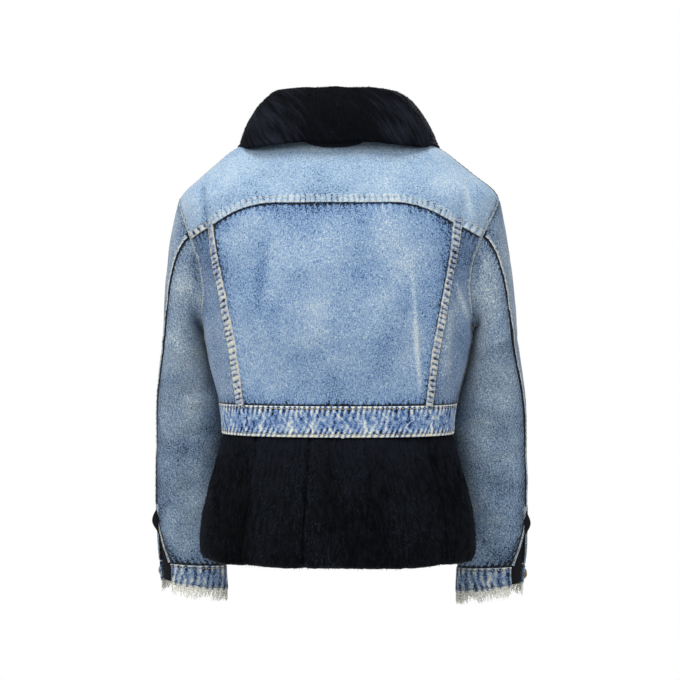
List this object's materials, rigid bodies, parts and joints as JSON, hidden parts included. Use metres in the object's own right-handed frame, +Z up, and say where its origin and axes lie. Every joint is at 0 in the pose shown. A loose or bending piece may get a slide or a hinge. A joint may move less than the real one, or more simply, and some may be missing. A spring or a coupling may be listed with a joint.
{
  "type": "denim jacket with fur collar and fur peplum",
  "caption": "Hip-length denim jacket, filled out as when worn, with a spread fur collar, a fur peplum below the waistband and frayed cuffs.",
  "frame": {"origin": "middle of the neck hole at the height of the back neck seam, where the wearer's shoulders carry the jacket", "axes": "+Z up, -Y to the front of the jacket, +X to the wearer's left"},
  "size_m": [0.534, 0.2613, 0.7278],
  "materials": {
    "denim_pale": "stone-washed cotton twill, pale blue",
    "denim_mid": "stone-washed cotton twill, mid blue",
    "denim_grey": "stone-washed cotton twill, greyed blue",
    "denim_puckered": "stone-washed cotton twill, folded double and puckered at its seams",
    "denim_dark": "unwashed cotton twill, dark navy",
    "fur_black": "sheared fur, blue-black, dense pile",
    "lining_black": "black woven lining",
    "cotton_fringe": "frayed ecru weft threads",
    "button_metal": "aged brass, satin"
  },
  "bodies": {
    "root": {"back_yoke": "denim_pale", "back_centre_panel": "denim_mid", "back_side_panel_left": "denim_mid", "back_side_panel_right": "denim_mid", "front_panel_left": "denim_mid", "front_panel_right": "denim_mid", "button_band": "denim_mid", "waistband": "denim_puckered", "fur_front_right": "fur_black", "fur_side_right": "fur_black", "fur_back_centre": "fur_black", "fur_back_left": "fur_black", "fur_side_left": "fur_black", "fur_front_left": "fur_black", "fur_collar": "fur_black", "under_collar": "denim_dark", "sleeve_top_left": "denim_grey", "sleeve_under_left": "denim_grey", "slit_lining_left": "lining_black", "cuff_left": "denim_puckered", "cuff_fringe_left": "cotton_fringe", "cuff_button_left": "button_metal", "sleeve_top_right": "denim_grey", "sleeve_under_right": "denim_grey", "slit_lining_right": "lining_black", "cuff_right": "denim_puckered", "cuff_fringe_right": "cotton_fringe", "cuff_button_right": "button_metal", "front_button_1": "button_metal", "front_button_2": "button_metal", "front_button_3": "button_metal", "front_button_4": "button_metal", "front_button_5": "button_metal", "waistband_button": "button_metal"}
  },
  "joints": []
}
